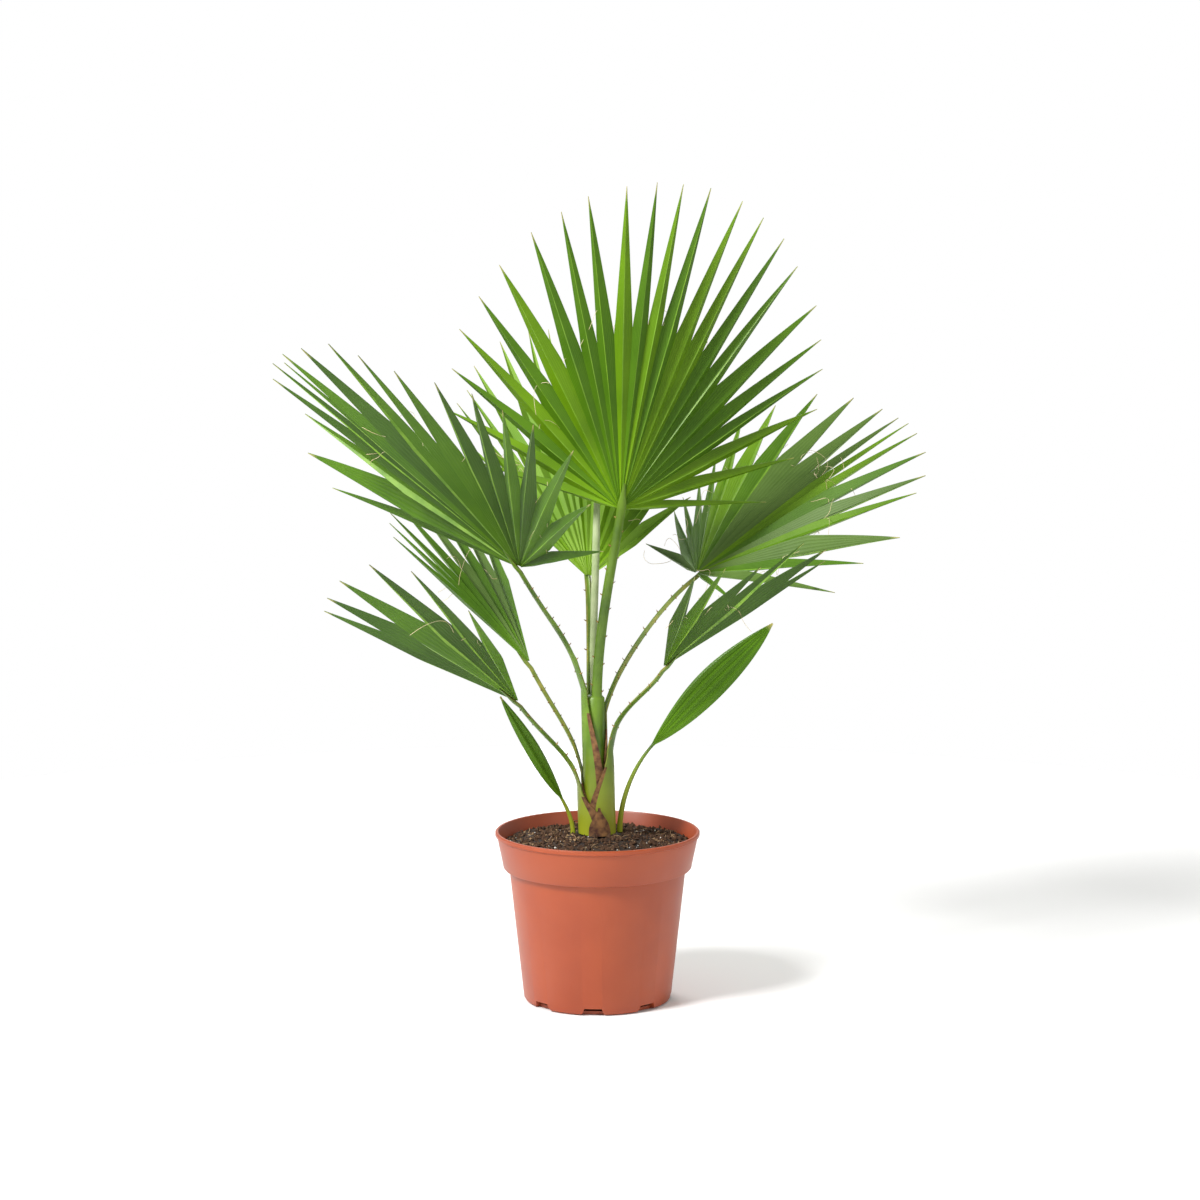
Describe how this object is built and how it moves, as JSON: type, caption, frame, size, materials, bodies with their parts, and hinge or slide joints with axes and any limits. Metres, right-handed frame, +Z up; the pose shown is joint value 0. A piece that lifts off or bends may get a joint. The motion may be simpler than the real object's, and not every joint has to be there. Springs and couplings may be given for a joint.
{
  "type": "potted Mexican fan palm",
  "caption": "Young fan palm with pleated, split fan leaves on toothed stalks, in a terracotta-coloured round nursery pot.",
  "frame": {"origin": "centre of the pot's flat underside, on the pot's axis", "axes": "+Z up along the pot's axis, +X to the right of the pictured view, +Y away from the viewer"},
  "size_m": [0.6006, 0.5823, 0.7577],
  "materials": {
    "pot_plastic": "satin",
    "soil": "matte",
    "leaf": "satin",
    "stalk": "satin",
    "young_leaf": "satin",
    "dry_sheath": "matte"
  },
  "bodies": {
    "root": {"pot": "pot_plastic", "soil": "soil", "stem": "stalk", "spear": "young_leaf", "old_sheath": "dry_sheath", "frond_top": "leaf", "stalk_top": "stalk", "frond_back": "leaf", "stalk_back": "stalk", "frond_left": "leaf", "stalk_left": "stalk", "frond_right": "leaf", "stalk_right": "stalk", "frond_left_back": "leaf", "stalk_left_back": "stalk", "frond_low_left": "leaf", "stalk_low_left": "stalk", "frond_low_right": "leaf", "stalk_low_right": "stalk", "leaf_left": "leaf", "stalk_leaf_left": "stalk", "leaf_right": "leaf", "stalk_leaf_right": "stalk"}
  },
  "joints": []
}
